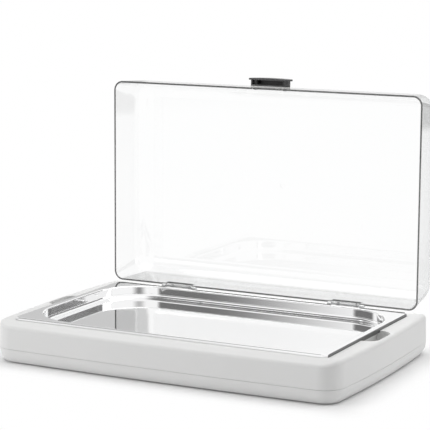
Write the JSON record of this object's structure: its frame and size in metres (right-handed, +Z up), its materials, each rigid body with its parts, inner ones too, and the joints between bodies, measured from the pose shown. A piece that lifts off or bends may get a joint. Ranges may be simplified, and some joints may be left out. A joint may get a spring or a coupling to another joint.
{
  "type": "chilled food display server",
  "caption": "White insulated base with a full-size steel pan over cold packs and a clear hinged hood with a cup handle, for keeping food cold on a buffet.",
  "frame": {"origin": "on the table top, under the middle of the steel pan", "axes": "+X to the right seen from the front, +Y to the back where the hinges are, +Z up"},
  "size_m": [0.5938, 0.4474, 0.427],
  "materials": {
    "shell": "satin moulded white",
    "foam": "bead foam",
    "pan_steel": "mirror polished",
    "screw_steel": "bright zinc",
    "foot_rubber": "matt",
    "pack": "translucent pale blue",
    "plug": "satin",
    "clear": "clear polished",
    "handle_black": "smooth black",
    "pad": "soft pale gasket",
    "insert_brass": "knurled"
  },
  "bodies": {
    "base": {"upper_shell": "shell", "lower_shell": "shell", "insulation_slab": "foam", "case_screws": "screw_steel", "foot_front_left": "foot_rubber", "foot_front_right": "foot_rubber", "foot_rear_left": "foot_rubber", "foot_rear_right": "foot_rubber", "cold_pack_left": "pack", "cold_pack_right": "pack", "cold_pack_plug_left": "plug", "cold_pack_plug_right": "plug", "hinge_block_left": "clear", "hinge_block_right": "clear", "hinge_pin_left": "screw_steel", "hinge_pin_right": "screw_steel", "hinge_screws": "screw_steel"},
    "hood": {"hood": "clear", "handle": "handle_black", "handle_pad": "pad", "handle_inserts": "insert_brass", "handle_screws": "screw_steel"},
    "pan": {"steel_pan": "pan_steel"}
  },
  "joints": [
    {"name": "hood_hinge", "type": "hinge", "parent": "base", "child": "hood", "pos_m": [0, 0.1735, 0.0681], "axis": [1, 0, 0], "range_deg": [0, 90]},
    {"name": "pan_lift", "type": "slide", "parent": "base", "child": "pan", "axis": [0, 0, 1], "range_m": [0, 0.05]}
  ]
}
